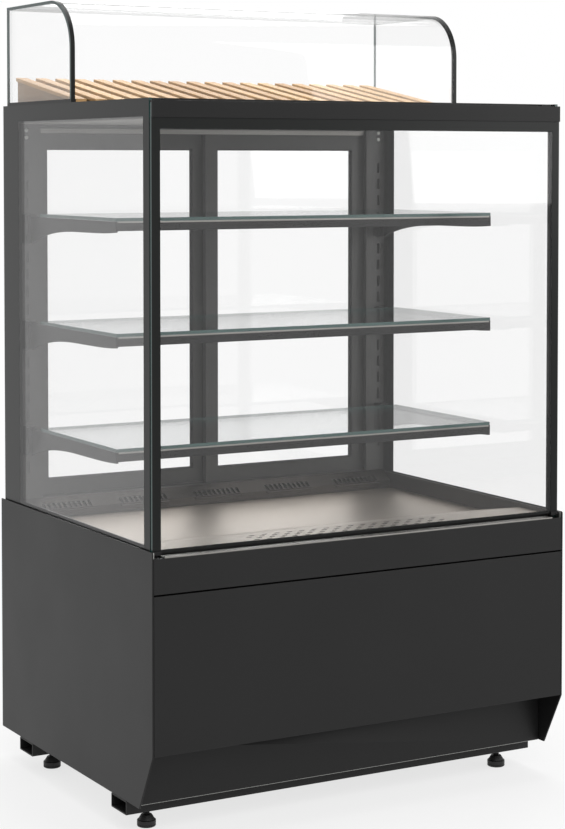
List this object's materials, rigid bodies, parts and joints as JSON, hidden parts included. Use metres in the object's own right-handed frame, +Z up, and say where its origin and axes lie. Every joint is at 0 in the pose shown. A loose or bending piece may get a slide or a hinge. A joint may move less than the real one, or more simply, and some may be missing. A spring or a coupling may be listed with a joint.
{
  "type": "refrigerated pastry display case",
  "caption": "Free-standing glass display case with sliding rear doors, glass shelves, a tilting front glass, a black base on levelling feet and a curved glass canopy over a slatted bread rack.",
  "frame": {"origin": "on the floor, under the middle of the case's footprint", "axes": "+Z up, -Y towards the shopper, +X to the right as the shopper sees it"},
  "size_m": [0.9, 0.702, 1.534],
  "materials": {
    "foot_plastic": "moulded black foot",
    "zinc_steel": "zinc plated",
    "black_steel": "satin black paint",
    "black_panel": "satin black powder coat",
    "sill_aluminium": "satin anodised",
    "tub_skin": "coated tub skin over foam",
    "deck_steel": "brushed stainless",
    "grey_panel": "satin grey",
    "frame_grey": "satin dark grey",
    "clear_glass": "clear float glass",
    "black_trim": "satin black anodised",
    "top_glass": "dark backed glass",
    "lamp_plastic": "opal lamp cover",
    "pale_wood": "clear lacquered beech",
    "compressor_black": "gloss black enamel",
    "fin_aluminium": "mill finish",
    "fan_black": "moulded black",
    "copper": "drawn copper",
    "tray_plastic": "moulded dark grey",
    "control_black": "moulded black",
    "key_plastic": "moulded grey"
  },
  "bodies": {
    "case": {"foot_nuts": "zinc_steel", "base_rails": "black_steel", "base_floor": "zinc_steel", "side_panels": "black_panel", "kick_panel": "black_panel", "front_panel": "black_panel", "front_fascia": "black_panel", "front_sill": "sill_aluminium", "front_uprights": "zinc_steel", "rear_grille_panel": "black_panel", "rear_control_panel": "black_panel", "insulated_tub": "tub_skin", "inner_walls": "grey_panel", "door_surround": "frame_grey", "slotted_posts": "frame_grey", "side_glasses": "clear_glass", "glazing_profiles": "black_trim", "pivot_brackets": "zinc_steel", "glass_catches": "black_trim", "top_frame": "frame_grey", "top_panel": "top_glass", "ceiling_panel": "grey_panel", "led_lamp": "lamp_plastic", "canopy_sides": "clear_glass", "canopy_curved_glass": "clear_glass", "shelf_rails": "frame_grey", "shelf_brackets": "frame_grey", "compressor": "compressor_black", "condenser": "fin_aluminium", "evaporator": "fin_aluminium", "fan_motors": "fan_black", "fan_plates": "zinc_steel", "refrigerant_lines": "copper", "controller": "control_black", "power_inlet": "control_black", "panel_screws": "zinc_steel"},
    "foot_front_left": {"foot_front_left": "foot_plastic"},
    "foot_front_right": {"foot_front_right": "foot_plastic"},
    "foot_rear_left": {"foot_rear_left": "foot_plastic"},
    "foot_rear_right": {"foot_rear_right": "foot_plastic"},
    "door_left": {"door_left_frame": "frame_grey", "door_left_glass": "clear_glass"},
    "door_right": {"door_right_frame": "frame_grey", "door_right_glass": "clear_glass"},
    "front_window": {"front_glass": "clear_glass", "front_glass_bar": "black_trim", "pivot_shoes": "black_trim"},
    "deck": {"deck_pan": "deck_steel"},
    "return_strip": {"return_grille": "deck_steel"},
    "rack": {"rack_slats": "pale_wood", "rack_boards": "pale_wood"},
    "shelf_top": {"shelf_glass_top": "clear_glass"},
    "shelf_middle": {"shelf_glass_middle": "clear_glass"},
    "shelf_bottom": {"shelf_glass_bottom": "clear_glass"},
    "condenser_rotor": {"condenser_fan": "fan_black"},
    "evaporator_rotor": {"evaporator_fan": "fan_black"},
    "tray": {"condensate_tray": "tray_plastic"},
    "up_key": {"key_up": "key_plastic"},
    "down_key": {"key_down": "key_plastic"},
    "switch_rocker": {"light_switch": "key_plastic"}
  },
  "joints": [
    {"name": "door_left_slide", "type": "slide", "parent": "case", "child": "door_left", "axis": [1, 0, 0], "range_m": [0, 0.385]},
    {"name": "door_right_slide", "type": "slide", "parent": "case", "child": "door_right", "axis": [-1, 0, 0], "range_m": [0, 0.385]},
    {"name": "front_window_tilt", "type": "hinge", "parent": "case", "child": "front_window", "pos_m": [0, -0.342, 0.5295], "axis": [1, 0, 0], "range_deg": [0, 70]},
    {"name": "deck_lift", "type": "slide", "parent": "case", "child": "deck", "axis": [0, 0, 1], "range_m": [0, 0.1]},
    {"name": "return_strip_lift", "type": "slide", "parent": "case", "child": "return_strip", "axis": [0, 0, 1], "range_m": [0, 0.1]},
    {"name": "rack_slide", "type": "slide", "parent": "case", "child": "rack", "axis": [0, 1, 0], "range_m": [0, 0.3]},
    {"name": "shelf_top_lift", "type": "slide", "parent": "case", "child": "shelf_top", "axis": [0, 0, 1], "range_m": [0, 0.06]},
    {"name": "shelf_middle_lift", "type": "slide", "parent": "case", "child": "shelf_middle", "axis": [0, 0, 1], "range_m": [0, 0.06]},
    {"name": "shelf_bottom_lift", "type": "slide", "parent": "case", "child": "shelf_bottom", "axis": [0, 0, 1], "range_m": [0, 0.06]},
    {"name": "condenser_fan_spin", "type": "hinge", "parent": "case", "child": "condenser_rotor", "pos_m": [0.2, 0.225, 0.182], "axis": [0, 1, 0], "continuous": true},
    {"name": "evaporator_fan_spin", "type": "hinge", "parent": "case", "child": "evaporator_rotor", "pos_m": [0, -0.011, 0.422], "axis": [0, 1, 0], "continuous": true},
    {"name": "tray_slide", "type": "slide", "parent": "case", "child": "tray", "axis": [0, 1, 0], "range_m": [0, 0.2]},
    {"name": "key_up_press", "type": "slide", "parent": "case", "child": "up_key", "axis": [0, -1, 0], "range_m": [0, 0.001], "stiffness_N_per_m": 600, "springref_m": -0.001},
    {"name": "key_down_press", "type": "slide", "parent": "case", "child": "down_key", "axis": [0, -1, 0], "range_m": [0, 0.001], "stiffness_N_per_m": 600, "springref_m": -0.001},
    {"name": "light_switch_rock", "type": "hinge", "parent": "case", "child": "switch_rocker", "pos_m": [-0.2, 0.345, 0.416], "axis": [-1, 0, 0], "range_deg": [0, 16]},
    {"name": "foot_front_left_turn", "type": "hinge", "parent": "case", "child": "foot_front_left", "pos_m": [-0.393, -0.208, 0], "axis": [0, 0, 1], "continuous": true},
    {"name": "foot_front_right_turn", "type": "hinge", "parent": "case", "child": "foot_front_right", "pos_m": [0.393, -0.208, 0], "axis": [0, 0, 1], "continuous": true},
    {"name": "foot_rear_left_turn", "type": "hinge", "parent": "case", "child": "foot_rear_left", "pos_m": [-0.393, 0.228, 0], "axis": [0, 0, 1], "continuous": true},
    {"name": "foot_rear_right_turn", "type": "hinge", "parent": "case", "child": "foot_rear_right", "pos_m": [0.393, 0.228, 0], "axis": [0, 0, 1], "continuous": true}
  ]
}
